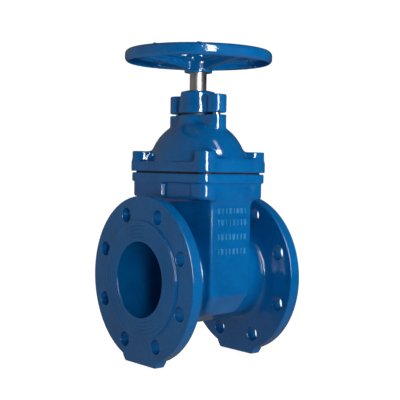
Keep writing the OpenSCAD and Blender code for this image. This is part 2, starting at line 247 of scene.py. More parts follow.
def rounded(*corners, steps=4):
    """A closed outline through (a, b, radius) corners, each rounded by its radius."""
    points = []
    for i, (a, b, r) in enumerate(corners):
        here = Vector((a, b))
        if not r:
            points.append(here)
            continue
        before = (Vector(corners[i - 1][:2]) - here).normalized()
        after = (Vector(corners[(i + 1) % len(corners)][:2]) - here).normalized()
        half = before.angle(after) / 2
        centre = here + (before + after).normalized() * (r / math.sin(half))
        u, v = here + before * r / math.tan(half) - centre, here + after * r / math.tan(half) - centre
        sweep = math.pi - 2 * half
        for k in range(steps + 1):
            t = k / steps
            arm = u * math.sin((1 - t) * sweep) + v * math.sin(t * sweep)
            points.append(centre + arm / math.sin(sweep))
    return points


ALONG_X = Matrix.Rotation(math.pi / 2, 4, "Y")
UPRIGHT = Matrix.Identity(4)


def lathe(name, outline, place=UPRIGHT, segments=128):
    """An outline of (radius, height) turned about the local Z axis. Points at radius 0 meet on the axis."""
    points, rows = [], []
    for r, h in outline:
        if r < 1e-6:
            rows.append([len(points)] * segments)
            points.append((0, 0, h))
            continue
        rows.append(list(range(len(points), len(points) + segments)))
        points += [(r * math.cos(2 * math.pi * k / segments), r * math.sin(2 * math.pi * k / segments), h)
                   for k in range(segments)]
    faces = []
    for i, row in enumerate(rows):
        following = rows[(i + 1) % len(rows)]
        for k in range(segments):
            loop = (row[k], row[(k + 1) % segments], following[(k + 1) % segments], following[k])
            loop = tuple(dict.fromkeys(loop))
            if len(loop) > 2:
                faces.append(loop)
    return face_out(to_object(name, [place @ Vector(p) for p in points], faces))


def prism(name, outline, low, high, place=UPRIGHT):
    """An outline in local X and Y, extruded from low to high along local Z."""
    n = len(outline)
    points = [place @ Vector((a, b, h)) for h in (low, high) for a, b in outline]
    faces = [tuple(range(n))[::-1], tuple(range(n, 2 * n))]
    faces += [(i, (i + 1) % n, n + (i + 1) % n, n + i) for i in range(n)]
    return face_out(to_object(name, points, faces))


def face_out(obj):
    """Turns every face of a closed mesh outwards."""
    work = bmesh.new()
    work.from_mesh(obj.data)
    bmesh.ops.recalc_face_normals(work, faces=work.faces)
    work.to_mesh(obj.data)
    work.free()
    return obj


def combine(target, operation, *tools):
    """Joins solids to the target, or cuts them out of it, and removes them."""
    for tool in tools:
        change = target.modifiers.new("solid", "BOOLEAN")
        change.solver = "MANIFOLD"
        change.operation = operation
        change.object = tool
        result = bpy.data.meshes.new_from_object(target.evaluated_get(bpy.context.evaluated_depsgraph_get()))
        target.modifiers.clear()
        target.data = result
        bpy.data.objects.remove(tool)
    return target


def mouth(radius, height, flare):
    """A hole's outline where it opens, rounded outwards by flare, which is negative at a lower end."""
    turns = [k / 4 * math.pi / 2 for k in range(5)]
    curve = [(radius + abs(flare) * (1 - math.sin(t)), height - flare * (1 - math.cos(t))) for t in turns]
    return curve[::-1] if flare > 0 else curve


def drill(radius, low, high, flare, place, segments=48):
    """A cutter for a hole from low to high, whose mouths are rounded by flare."""
    outline = [(0, low - 1), (radius + flare, low - 1), *mouth(radius, low, -flare),
               *mouth(radius, high, flare), (radius + flare, high + 1), (0, high + 1)]
    return lathe("drill", outline, place, segments)


def counterbore(radius, floor_z, top, x, y, flare=0.8):
    """A cutter with a flat floor and a rounded mouth."""
    outline = [(0, floor_z), (radius, floor_z), *mouth(radius, top, flare), (radius + flare, top + 1),
               (0, top + 1)]
    return lathe("counterbore", outline, at(x, y), 48)


def at(x, y, z=0):
    """A move to a place."""
    return Matrix.Translation((x, y, z))


def finish(obj, body, slot_name, material, *nodes, smooth=35):
    """Gives a piece its material, its body, and the CAD nodes that it stands for. Its slot name is not used.
    """
    obj.data.materials.clear()
    obj.data.materials.append(material)
    for polygon in obj.data.polygons:
        polygon.use_smooth = True
    obj.data.set_sharp_from_angle(angle=math.radians(smooth))
    shading = obj.modifiers.new("even_shading", "WEIGHTED_NORMAL")
    shading.keep_sharp, shading.weight = True, 100
    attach(obj, body)
    if nodes:
        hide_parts(*nodes)
    return obj


# ---------------------------------------------------------------- materials

class Graph:
    """A material's node tree, with short ways to add and join nodes."""

    def __init__(self, name):
        self.material = bpy.data.materials.new(name)
        self.material.use_nodes = True
        self.tree = self.material.node_tree
        self.tree.nodes.clear()
        self.shader = self.add("ShaderNodeBsdfPrincipled")
        output = self.add("ShaderNodeOutputMaterial")
        self.join(self.shader.outputs[0], output.inputs[0])
        self.place = self.add("ShaderNodeTexCoord").outputs["Object"]

    def add(self, kind, **values):
        """A new node with the given settings."""
        node = self.tree.nodes.new(kind)
        for key, value in values.items():
            setattr(node, key, value)
        return node

    def join(self, output, socket):
        """Links an output to a socket."""
        self.tree.links.new(output, socket)

    def noise(self, size, detail=3, stretch=(1, 1, 1)):
        """Noise from 0 to 1, its features about size millimetres wide."""
        mapping = self.add("ShaderNodeMapping")
        mapping.inputs["Scale"].default_value = [s / (size * MM) for s in stretch]
        self.join(self.place, mapping.inputs["Vector"])
        node = self.add("ShaderNodeTexNoise")
        node.inputs["Scale"].default_value = 1
        node.inputs["Detail"].default_value = detail
        self.join(mapping.outputs[0], node.inputs["Vector"])
        return node.outputs[0]

    def span(self, value, low, high, to_low=0, to_high=1):
        """Maps a value from low..high to to_low..to_high, clamped."""
        node = self.add("ShaderNodeMapRange")
        for socket, number in zip(node.inputs[1:5], (low, high, to_low, to_high)):
            socket.default_value = number
        self.join(value, node.inputs[0])
        return node.outputs[0]

    def mix(self, factor, a, b):
        """Mixes two colours, each a colour or a socket."""
        node = self.add("ShaderNodeMix", data_type="RGBA")
        self.join(factor, node.inputs[0])
        for socket, colour in ((node.inputs[6], a), (node.inputs[7], b)):
            if isinstance(colour, tuple):
                socket.default_value = (*colour, 1)
            else:
                self.join(colour, socket)
        return node.outputs[2]

    def bumps(self, *layers):
        """Stacks bumps of (height, depth in millimetres)."""
        normal = None
        for height, depth in layers:
            node = self.add("ShaderNodeBump")
            node.inputs["Distance"].default_value = depth * MM
            node.inputs["Strength"].default_value = 1
            self.join(height, node.inputs["Height"])
            if normal:
                self.join(normal, node.inputs["Normal"])
            normal = node.outputs[0]
        self.join(normal, self.shader.inputs["Normal"])

    def set(self, **values):
        """Sets the shader's own sockets."""
        for name, value in values.items():
            self.shader.inputs[name.replace("_", " ")].default_value = value


def blue_paint(name, deep, pale):
    """Glossy fusion-bonded epoxy over cast iron, cloudy, with a little dust in it."""
    g = Graph(name)
    tint = g.span(g.noise(34, 2), 0.35, 0.65)
    thin = g.span(g.noise(5, 4), 0.50, 0.72, 0, 0.45)
    dust = g.span(g.noise(2.2, 2), 0.70, 0.76, 0, 0.35)
    colour = g.mix(thin, g.mix(tint, deep, pale), tuple(channel * 1.2 for channel in pale))
    colour = g.mix(dust, colour, (0.10, 0.22, 0.38))
    g.join(colour, g.shader.inputs["Base Color"])
    g.join(g.span(g.noise(9, 4), 0.3, 0.7, 0.07, 0.13), g.shader.inputs["Roughness"])
    g.set(IOR=1.55)
    g.bumps((g.noise(26, 2), 0.6), (g.noise(6, 2), 0.20), (g.noise(2.4, 2), 0.09), (g.noise(1.2, 2), 0.025))
    return g.material


def stainless():
    """Turned stainless steel with faint rings round the stem and a warm stain."""
    g = Graph("turned_stainless")
    lines = g.noise(1.0, 4, (0.04, 0.04, 2.2))
    stain = g.span(g.noise(9, 3), 0.45, 0.7, 0, 0.6)
    g.join(g.mix(stain, g.mix(lines, (0.40, 0.38, 0.36), (0.66, 0.64, 0.62)), (0.36, 0.29, 0.24)),
           g.shader.inputs["Base Color"])
    g.join(g.span(lines, 0.3, 0.7, 0.30, 0.44), g.shader.inputs["Roughness"])
    g.set(Metallic=1)
    g.bumps((lines, 0.01))
    return g.material


def zinc():
    """Zinc-plated fastener steel, cloudy and a little dull."""
    g = Graph("plated_steel")
    cloud = g.noise(3, 4)
    g.join(g.mix(cloud, (0.42, 0.42, 0.44), (0.66, 0.66, 0.68)), g.shader.inputs["Base Color"])
    g.join(g.span(cloud, 0.3, 0.7, 0.24, 0.45), g.shader.inputs["Roughness"])
    g.set(Metallic=1)
    g.bumps((g.noise(0.8, 3), 0.008))
    return g.material


def brass_metal():
    """Machined brass with darker tarnish clouds."""
    g = Graph("machined_brass")
    cloud = g.span(g.noise(7, 4), 0.35, 0.7)
    g.join(g.mix(cloud, (0.58, 0.40, 0.15), (0.30, 0.20, 0.09)), g.shader.inputs["Base Color"])
    g.join(g.span(cloud, 0, 1, 0.22, 0.46), g.shader.inputs["Roughness"])
    g.set(Metallic=1)
    g.bumps((g.noise(0.9, 3, (1, 1, 4)), 0.01))
    return g.material


def rubber():
    """Moulded EPDM, dark grey with a light bloom."""
    g = Graph("black_epdm")
    bloom = g.span(g.noise(8, 4), 0.45, 0.75, 0, 0.6)
    g.join(g.mix(bloom, (0.010, 0.010, 0.011), (0.035, 0.036, 0.038)), g.shader.inputs["Base Color"])
    g.join(g.span(g.noise(2, 3), 0.3, 0.7, 0.45, 0.68), g.shader.inputs["Roughness"])
    g.bumps((g.noise(1.2, 3), 0.03))
    return g.material


def plastic():
    """Pale moulded nylon with a fine grain."""
    g = Graph("pale_nylon")
    g.join(g.mix(g.noise(12, 3), (0.60, 0.58, 0.49), (0.72, 0.70, 0.62)), g.shader.inputs["Base Color"])
    g.join(g.span(g.noise(3, 3), 0.3, 0.7, 0.38, 0.55), g.shader.inputs["Roughness"])
    g.set(Subsurface_Weight=0.05)
    g.bumps((g.noise(0.7, 2), 0.01))
    return g.material


def hot_melt():
    """Blue hot-melt poured over the bolt heads, waxy and wavy."""
    g = Graph("hot_melt")
    g.join(g.mix(g.noise(6, 3), (0.012, 0.10, 0.26), (0.03, 0.16, 0.36)), g.shader.inputs["Base Color"])
    g.join(g.span(g.noise(4, 3), 0.3, 0.7, 0.28, 0.48), g.shader.inputs["Roughness"])
    g.bumps((g.noise(5, 2), 0.25))
    return g.material


def ductile_iron():
    """Bare machined ductile iron inside the wedge."""
    g = Graph("ductile_iron")
    g.join(g.mix(g.noise(5, 5), (0.10, 0.10, 0.105), (0.20, 0.20, 0.21)), g.shader.inputs["Base Color"])
    g.join(g.span(g.noise(2, 4), 0.3, 0.7, 0.42, 0.66), g.shader.inputs["Roughness"])
    g.set(Metallic=0.8)
    g.bumps((g.noise(1.2, 4), 0.05))
    return g.material


# ---------------------------------------------------------------- body

def chamber_field(x, y, z):
    """The flat-sided wedge chamber, with its sloping lower faces."""
    side = np.abs(y)
    lower = smooth_max(edge(side, -z, (CHAMBER_Y, 20), (57, 46)), edge(side, -z, (57, 46), (36, 53)), 6)
    lower = smooth_max(lower, edge(side, -z, (36, 53), (0, 58)), 8)
    outline = smooth_max(smooth_max(side - CHAMBER_Y, z - BOX_Z - 8, 1), lower, 3)
    ends = smooth_max(np.abs(x) - CHAMBER_X, edge(np.abs(x), -z, (CHAMBER_X, 24), (24, 58)), 8)
    return smooth_max(outline, ends, 9)


def top_field(x, y, z):
    """The square top: a box, its relief in each long side, and the plate above it."""
    box = slab(rectangle(x, y, TOP_X - 3, TOP_Y - 3, CORNER_R - 3), z, BOX_Z, TOP_Z - 1, 3)
    window = round_corner(np.abs(y - RELIEF_Y) - RELIEF_HALF_W, np.abs(z - BOX_Z) - 21, 3)
    relief = round_corner(window, TOP_X - 8 - np.abs(x), 2)
    box = smooth_max(box, -relief, 2)
    slope = edge(np.abs(y), z, (CHAMBER_Y - 3, BOX_Z - 6), (TOP_Y - 3, BOX_Z + 17))
    box = smooth_max(box, smooth_min(slope, CHAMBER_X - 4 - np.abs(x), 5), 5)
    plate = slab(rectangle(x, y, TOP_X, TOP_Y, CORNER_R), z, TOP_Z - 12, TOP_Z, 1.8)
    return smooth_min(box, plate, 2.5)


def body_field(x, y, z):
    """Barrel, its flare into the flanges, chamber and square top as one casting."""
    radius = np.hypot(y, z)
    disc = np.maximum(radius - FLANGE_R, BACK_X - np.abs(x))
    shoulder = (radius - BARREL_R - np.clip(SHOULDER_X - np.abs(x), 0, 30) * 0.1)
    neck = np.maximum(smooth_min(shoulder, disc, 13), radius - NECK_FILLET_R)
    neck = np.maximum(neck, np.abs(x) - BACK_X - FLANGE_OVERLAP)
    return smooth_min(smooth_min(chamber_field(x, y, z), top_field(x, y, z), 16), neck, 12)


def flange(side):
    """One end flange with its grooved raised face, turned in one piece."""
    grooves = []
    for r in GROOVE_RADII:
        grooves += [(r + 0.8, FACE_X, 0), (r + 0.3, FACE_X - 0.5, 0),
                    (r - 0.3, FACE_X - 0.5, 0), (r - 0.8, FACE_X, 0)]
    outline = rounded(
        (FLANGE_R, BACK_X, 2.2), (FLANGE_R, FACE_X - RAISED_H, 1.6), (RAISED_R, FACE_X - RAISED_H, 0.8),
        (RAISED_R, FACE_X, 0.7), *grooves, (BORE_R - 20, FACE_X, 0), (BORE_R - 20, BACK_X, 0))
    return lathe("flange", outline, Matrix.Diagonal((side, 1, 1, 1)) @ ALONG_X, 192)


def foot(side):
    """The cast foot under a flange."""
    mid = side * (BACK_X + FACE_X - RAISED_H) / 2
    half_t = (FACE_X - RAISED_H - BACK_X) / 2

    def field(x, y, z):
        flare = edge(np.abs(y), -z, (FOOT_HALF_W, -FOOT_Z - 8), (FOOT_HALF_W - 6, -FOOT_Z))
        pad = smooth_max(smooth_max(np.abs(y) - FOOT_HALF_W, FOOT_Z - z, 2), flare, 2)
        return np.maximum(round_corner(pad, np.abs(x - mid) - half_t, 1.6), z - FOOT_TOP_Z)

    return skin("foot", field, (mid - half_t, -FOOT_HALF_W, FOOT_Z),
                (mid + half_t, FOOT_HALF_W, FOOT_TOP_Z), 1.2)


def cavity():
    """The wedge's room between the seats, open at the top."""
    across = Matrix(((0, 0, 1, 0), (1, 0, 0, 0), (0, 1, 0, 0), (0, 0, 0, 1)))
    through = Matrix(((1, 0, 0, 0), (0, 0, 1, 0), (0, 1, 0, 0), (0, 0, 0, 1)))
    half_y, shelf_z, floor_r = 67, -12.4, 54.3
    wall = [(16.4, -56), (24.7, 62), (28.4, 66), (28.4, TOP_Z + 1)]
    outline = wall + [(-a, b) for a, b in reversed(wall)]
    room = prism("cavity", outline, -half_y, half_y, through)
    lower = [(floor_r * math.cos(t), floor_r * math.sin(t)) for t in np.linspace(-math.pi + 0.23, -0.23, 48)]
    outline = [(-half_y, shelf_z), *lower, (half_y, shelf_z), (half_y, TOP_Z + 2), (-half_y, TOP_Z + 2)]
    return combine(room, "INTERSECT", prism("cavity_outline", outline, -40, 40, across))


def rail(side):
    """A rail that the wedge's shoe slides on."""
    inner, outer = 60.5, 68
    outline = rounded((-4, inner, 1), (4, inner, 1), (4, outer, 0), (-4, outer, 0))
    return prism("rail", [(a, side * b) for a, b in outline], -13, TOP_Z - 2)


def body(paint):
    """The body casting, with its flanges, feet, cavity, holes and rails."""
    core = skin("valve_body_casting", body_field, (-BACK_X - FLANGE_OVERLAP, -TOP_Y, -72),
                (BACK_X + FLANGE_OVERLAP, TOP_Y, TOP_Z), 1.5)
    combine(core, "UNION", flange(1), flange(-1), foot(1), foot(-1))
    combine(core, "DIFFERENCE", cavity(), drill(BORE_R, -FACE_X, FACE_X, 1.2, ALONG_X, 160))
    for i in range(8):
        turn = Matrix.Rotation((i + 0.5) * math.pi / 4, 4, "X") @ at(0, BOLT_CIRCLE_R) @ ALONG_X
        for low, high in ((BACK_X, FACE_X - RAISED_H), (-FACE_X + RAISED_H, -BACK_X)):
            combine(core, "DIFFERENCE", drill(BOLT_HOLE_R, low, high, 0.9, turn))
    for x, y in CORNERS:
        combine(core, "DIFFERENCE", drill(6, TOP_Z - 26, TOP_Z, 0.5, at(x, y)))
    combine(core, "UNION", rail(1), rail(-1))
    return finish(core, "valve_body", "blue_paint", paint, "body")


def cast_marks(paint):
    """Plain raised pads in four rows on each broad side, where a foundry casts its own marks."""
    def field(x, y, z):
        best = 1e3
        for row_z in PAD_ROWS:
            column = np.clip(np.round((x - PAD_X) / PAD_PITCH), -4, 3)
            half_w = 1.5 + 0.6 * np.sin(column * 2.1 + row_z)
            pad = rectangle(x - PAD_X - PAD_PITCH * column, z - row_z, half_w, 3.9, 0.9)
            best = np.minimum(best, round_corner(pad, np.abs(np.abs(y) - CHAMBER_Y) - PAD_H, 0.5))
        return best

    marks = skin("cast_marks", field, (-26, -CHAMBER_Y - PAD_H, 33), (26, CHAMBER_Y + PAD_H, 98), 0.7)
    return finish(marks, "valve_body", "blue_paint", paint)


# ---------------------------------------------------------------- bonnet and gland

def lugs(x, y, z, low, high, r, web_w=LUG_R - 0.2):
    """Two round lugs and the web that joins them through the middle."""
    side = np.abs(y)
    round_end = slab(np.hypot(x, side - LUG_Y) - LUG_R, z, low, high, r)
    web = slab(rectangle(x, side, web_w, LUG_Y, 1), z, low, high, r)
    return smooth_min(round_end, web, 1)


def bonnet_field(x, y, z):
    """Plate, corner bosses, dome, neck and lugs as one casting."""
    plate = slab(rectangle(x, y, TOP_X, TOP_Y, CORNER_R), z, BONNET_LOW.z, LEDGE_Z, 1.8)
    dome = ellipsoid(x, y, z - DOME_Z, DOME)
    boss = slab(np.hypot(np.abs(x) - BOLT_X, np.abs(y) - BOLT_Y) - CORNER_R, z, BONNET_LOW.z, BOSS_Z, 1.6)
    neck = slab(np.hypot(x, y) - NECK_R, z, NECK_Z - 40, NECK_Z, 1)
    top = smooth_min(smooth_min(dome, neck, 9), lugs(x, y, z, NECK_Z - 34, NECK_Z, 1.2), 5)
    apron = slab(rectangle(x, y, BOLT_X, TOP_Y - 0.4, 4), z, BONNET_LOW.z, LEDGE_Z + 5, 4)
    shape = smooth_min(smooth_min(smooth_min(top, apron, 10), plate, 3), boss, 8)
    return np.maximum(np.maximum(shape, BONNET_LOW.z - z), z - NECK_Z)


def dome_room(x, y, z):
    """The room in the dome that the open wedge fills."""
    inner = ellipsoid(x, y, z - DOME_Z, [r - 8 for r in DOME])
    return smooth_max(inner, z - CEILING_Z, 6)


def bonnet(paint):
    """The bonnet casting, hollow, with its holes and counterbores."""
    shell = skin("bonnet_casting", bonnet_field, BONNET_LOW, BONNET_HIGH, 1.3)
    room = skin("room", lambda x, y, z: np.maximum(dome_room(x, y, z), BONNET_LOW.z - 1 - z),
                (-47, -74, BONNET_LOW.z - 1), (47, 74, CEILING_Z), 2.6)
    combine(shell, "DIFFERENCE", room, drill(13.5, 190, NECK_Z + 2, 0.01, UPRIGHT, 64),
            drill(20, 205, NECK_Z, 0.6, UPRIGHT, 96))
    for x, y in CORNERS:
        combine(shell, "DIFFERENCE", drill(6.5, BONNET_LOW.z, BOSS_Z, 0.5, at(x, y)),
                counterbore(COUNTERBORE_R, 156, BOSS_Z, x, y))
    for y in (-LUG_Y, LUG_Y):
        combine(shell, "DIFFERENCE", counterbore(5, NECK_Z - 20, NECK_Z, 0, y))
    return finish(shell, "valve_body", "blue_paint", paint, "bonnet")


def gland_field(x, y, z):
    """Tapered housing, its cap and its two lugs."""
    taper = np.hypot(x, y) - 25.8 + (z - GLAND_LOW.z) * 0.07
    skirt = slab(taper, z, GLAND_LOW.z, GLAND_LOW.z + 10.4, 0.8)
    barrel = slab(taper + 0.5, z, GLAND_LOW.z, GLAND_HIGH.z - 0.6, 2.4)
    cap = slab(np.hypot(x, y) - 19, z, GLAND_HIGH.z - 6, GLAND_HIGH.z, 1)
    ears = lugs(x, y, z, GLAND_LOW.z, GLAND_PLUG_HIGH.z + 0.5, 2.2, GLAND_WEB_W)
    return smooth_min(smooth_min(smooth_min(skirt, barrel, 1.5), cap, 2), ears, 4)


def gland(paint):
    """The gland housing, bored for the bush and the stem."""
    housing = skin("gland_casting", gland_field, GLAND_LOW, GLAND_HIGH, 1.0)
    combine(housing, "DIFFERENCE", drill(17.08, GLAND_LOW.z, 245, 0.01, UPRIGHT, 96),
            drill(16.5, GLAND_LOW.z, GLAND_HIGH.z, 0.6, UPRIGHT, 96))
    for y in (-LUG_Y, LUG_Y):
        combine(housing, "DIFFERENCE", drill(5.5, GLAND_LOW.z, 246, 0.4, at(0, y)),
                counterbore(LUG_COUNTERBORE_R, 233, 246, 0, y))
    return finish(housing, "valve_body", "blue_paint", paint, "gland_housing")


def poured_plugs(name, radius, low, high, places, material, node):
    """Hot-melt discs that sag a little in the middle."""
    parts = []
    for x, y in places:
        sag = [(radius - 1, 0.15), (radius * 0.6, 0.5), (radius * 0.3, 0.65), (0, 0.7)]
        outline = [(0, low), (radius, low), (radius, high), *[(r, high - drop) for r, drop in sag]]
        parts.append(lathe(name, outline, at(x, y), 48))
    return finish(join(parts), "valve_body", "hot_melt", material, node)


def join(parts):
    """Several objects as one, named like the first."""
    first = parts[0]
    with bpy.context.temp_override(active_object=first, object=first, selected_objects=parts,
                                   selected_editable_objects=parts):
        bpy.ops.object.join()
    return first


# ---------------------------------------------------------------- stem and handwheel

def stem(metal):
    """Shank, collar and square end turned on one axis, above a real helical thread."""
    outline = rounded(
        (0, 196, 0), (8.5, 196, 0), (SHANK_R, 199, 0.5), (SHANK_R, 207.3, 0.3), (18, 207.3, 0.5),
        (18, 214, 0.5), (SHANK_R, 214, 0.3), (SHANK_R, WHEEL_LOW.z, 0.6), (0, WHEEL_LOW.z, 0))
    shank = lathe("stem_spindle", outline, UPRIGHT, 96)
    w = SQUARE_HALF_W
    outline = rounded((-w, -w, 1), (w, -w, 1), (w, w, 1), (-w, w, 1))
    square = prism("square", outline, WHEEL_LOW.z - 2, STEM_HIGH.z)
    combine(shank, "UNION", square, thread())
    combine(shank, "DIFFERENCE", drill(4.4, HUB_TOP_Z - 28, STEM_HIGH.z, 0.6, UPRIGHT, 32))
    return finish(shank, "spindle", "stainless_steel", metal, "stem", smooth=30)


def thread():
    """A trapezoidal thread that winds up to the shank. A tooth's points are (share of the lead, radius).

    It is right-handed, and the wedge's coupling would need it left-handed.
    """
    low, high, around = STEM_LOW.z, 197, 48
    root, crest = THREAD_R, SHANK_R - 0.5
    tooth = [(0, root), (0.1, root), (0.32, crest), (0.58, crest), (0.8, root), (1, root)]
    rows = np.arange(low, high + 0.01, THREAD_LEAD / 10)
    points, faces = [], []
    for z in rows:
        for k in range(around):
            phase = ((z - low) / THREAD_LEAD - k / around) % 1
            fade = min(1, max(0, (high - 4 - z) / 6), (z - low) / 3)
            r = root + (np.interp(phase, *zip(*tooth)) - root) * fade
            angle = 2 * math.pi * k / around
            points.append((r * math.cos(angle), r * math.sin(angle), z))
    for i in range(len(rows) - 1):
        for k in range(around):
            a, b = i * around + k, i * around + (k + 1) % around
            faces.append((a, b, b + around, a + around))
    last = (len(rows) - 1) * around
    faces += [tuple(range(around))[::-1], tuple(range(last, last + around))]
    return face_out(to_object("thread", points, faces))


def wheel_field(x, y, z):
    """Hollow rim, four spokes with flat straps, and the hub."""
    radius = np.hypot(x, y)
    half_h = (RIM_Z - WHEEL_LOW.z - 12.4) / 2
    u, v = radius - WHEEL_R + RIM_HALF_W, z - RIM_Z + half_h
    gutter = np.abs(rectangle(u, v, RIM_HALF_W, half_h, 6.5) + 1.9) - 1.9
    mouth = smooth_max(np.abs(u + 0.6) - 4.6, v + half_h - 9, 1)
    inner_foot = np.maximum(u + 3, v + 1.5)
    rim = smooth_max(smooth_max(gutter, -mouth, 1.2), -inner_foot, 1.2)
    along, off = np.maximum(np.abs(x), np.abs(y)), np.minimum(np.abs(x), np.abs(y))
    share = (along - 13) / 84.5
    web_low, web_high = 279.5 + 13 * share, 295.9 + 6.2 * share
    reach = round_corner(np.abs(z - (web_low + web_high) / 2) - (web_high - web_low) / 2, off - 3.5, 1.5)
    strap = round_corner(np.abs(z - web_high + 1.75) - 1.75, off - 7.5, 1.2)
    spoke = np.maximum(smooth_min(reach, strap, 4), along - WHEEL_R + 3)
    collar = slab(radius - 19, z, WHEEL_LOW.z, WHEEL_LOW.z + 3.4, 1)
    hub = smooth_min(slab(radius - 17.2, z, WHEEL_LOW.z, WASHER_HIGH.z + 1, 1), collar, 2)
    hub = np.maximum(hub, -np.maximum(radius - 15.3, HUB_TOP_Z - z))
    return smooth_min(smooth_min(spoke, hub, 5), rim, 5)


def handwheel(paint):
    """The wheel casting, with a square hole for the stem."""
    wheel = skin("handwheel_casting", wheel_field, WHEEL_LOW, WHEEL_HIGH, 1.25)
    w = SQUARE_HALF_W + 0.05
    hole = prism("square", [(-w, -w), (w, -w), (w, w), (-w, w)], WHEEL_LOW.z - 1, HUB_TOP_Z + 1)
    combine(wheel, "DIFFERENCE", hole)
    return finish(wheel, "spindle", "blue_paint", paint, "handwheel")


def wheel_marks(paint):
    """Two pairs of plain raised chevrons on the rim, one for each turning direction."""
    def field(x, y, z):
        best = 1e3
        for turn in (0, 180):
            for angle, way in ((-167, -1), (-129, 1)):
                t = math.radians(angle + turn)
                u = -x * math.sin(t) + y * math.cos(t)
                v = x * math.cos(t) + y * math.sin(t) - WHEEL_R + RIM_HALF_W
                arrow = np.maximum(np.abs(v) * 0.8 + way * u * 0.6 - 2.5, -way * u - 3)
                best = np.minimum(best, round_corner(arrow, np.abs(z - RIM_Z) - 0.75, 0.5))
        return best

    marks = skin("wheel_direction_marks", field, (-WHEEL_R, -WHEEL_R, RIM_Z - 1),
                 (WHEEL_R, WHEEL_R, RIM_Z + 0.8), 0.8)
    return finish(marks, "spindle", "blue_paint", paint)


def wheel_bolt(metal):
    """Hexagon bolt with its chamfered head."""
    def field(x, y, z):
        flats = [math.pi / 6, math.pi / 2, math.pi * 5 / 6]
        sides = np.max([np.abs(x * math.cos(t) + y * math.sin(t)) for t in flats], 0) - 8.5
        crown = (np.hypot(x, y) - 8.9 + (z - HEX_HIGH.z) * 1.2) / 1.56
        head = np.maximum(smooth_max(sides, crown, 0.5), np.maximum(z - HEX_HIGH.z, WASHER_HIGH.z - z))
        return np.minimum(head, slab(np.hypot(x, y) - 4.4, z, HEX_LOW.z, WASHER_HIGH.z + 1, 0.5))

    bolt = skin("wheel_bolt", field, HEX_LOW, HEX_HIGH, 0.55)
    return finish(bolt, "spindle", "stainless_steel", metal, "handwheel_bolt")


def wheel_washer(metal):
    """The large washer between hub and bolt."""
    inner, outer, low, high = 5.5, 15, WASHER_LOW.z, WASHER_HIGH.z
    outline = rounded((inner, low, 0.3), (outer, low, 0.4), (outer, high, 0.9), (inner, high, 0.3))
    return finish(lathe("wheel_washer", outline), "spindle", "stainless_steel", metal, "handwheel_washer")


# ---------------------------------------------------------------- wedge

def wedge_facing(material):
    """Rubber over the wedge, with a raised sealing bead round each face."""
    lift = RUBBER_LOW.z + WEDGE_R

    def block(x, y, z, inset):
        r = WEDGE_R - inset
        side = np.abs(x) - (WEDGE_HALF_T - inset) - WEDGE_LEAN * z
        outline = np.where(z < 0, np.hypot(y, z) - r, np.abs(y) - r)
        return smooth_max(smooth_max(side, outline, 5 if inset == 0 else 2), z - 62 + inset, 4)

    def field(x, y, z):
        z = z - lift
        outer = block(x, y, z, 0)
        dish = round_corner(np.hypot(y, z) - 44, WEDGE_HALF_T - 1.4 + WEDGE_LEAN * z - np.abs(x), 1)
        shell = np.maximum(smooth_max(outer, -dish, 1.5), -block(x, y, z, 4))
        nut_hole = -rectangle(x, y, 15.2, 17.2, 1) - 1e3 * (z < 54)
        return np.maximum(shell, np.maximum(13.5 - np.hypot(x, y), nut_hole))

    facing = skin("wedge_facing", field, RUBBER_LOW, RUBBER_HIGH, 1.5)
    return finish(facing, "wedge", "black_rubber", material, "wedge_rubber")


# ---------------------------------------------------------------- light, floor, camera

def world():
    """White to the camera. To the object: a dim room, lighter on the side of its shaded faces."""
    bpy.context.scene.world = sky = bpy.data.worlds.new("studio")
    sky.use_nodes = True
    tree = sky.node_tree
    tree.nodes.clear()
    new, link = tree.nodes.new, tree.links.new
    output, mix = new("ShaderNodeOutputWorld"), new("ShaderNodeMixShader")
    room, white = new("ShaderNodeBackground"), new("ShaderNodeBackground")
    white.inputs["Color"].default_value = (1, 1, 1, 1)
    white.inputs["Strength"].default_value = 1.05
    side, dot, spread = new("ShaderNodeTexCoord"), new("ShaderNodeVectorMath"), new("ShaderNodeMapRange")
    parts, below, total = new("ShaderNodeSeparateXYZ"), new("ShaderNodeMapRange"), new("ShaderNodeMath")
    dot.operation = "DOT_PRODUCT"
    dot.inputs[1].default_value = (-0.634, 0.773, 0.25)
    for node, numbers in ((spread, (0.35, 1.0, 0.035, 0.34)), (below, (-0.15, -0.75, 0, 0.28))):
        for socket, number in zip(node.inputs[1:5], numbers):
            socket.default_value = number
    link(side.outputs["Generated"], dot.inputs[0])
    link(dot.outputs["Value"], spread.inputs[0])
    link(side.outputs["Generated"], parts.inputs[0])
    link(parts.outputs["Z"], below.inputs[0])
    link(spread.outputs[0], total.inputs[0])
    link(below.outputs[0], total.inputs[1])
    link(total.outputs[0], room.inputs["Strength"])
    link(new("ShaderNodeLightPath").outputs["Is Camera Ray"], mix.inputs[0])
    link(room.outputs[0], mix.inputs[1])
    link(white.outputs[0], mix.inputs[2])
    link(mix.outputs[0], output.inputs[0])


def softbox(name, azimuth, elevation, distance, width, height, watts, aim=(0, 0, 0.1)):
    """A rectangular light that faces the aim point from a direction in degrees."""
    light = bpy.data.lights.new(name, "AREA")
    light.shape, light.size, light.size_y, light.energy = "RECTANGLE", width, height, watts
    obj = bpy.data.objects.new(name, light)
    bpy.context.scene.collection.objects.link(obj)
    a, e = math.radians(azimuth), math.radians(elevation)
    towards = Vector((math.cos(a) * math.cos(e), math.sin(a) * math.cos(e), math.sin(e)))
    obj.location = Vector(aim) + towards * distance
    obj.rotation_euler = towards.to_track_quat("Z", "Y").to_euler()
    return obj


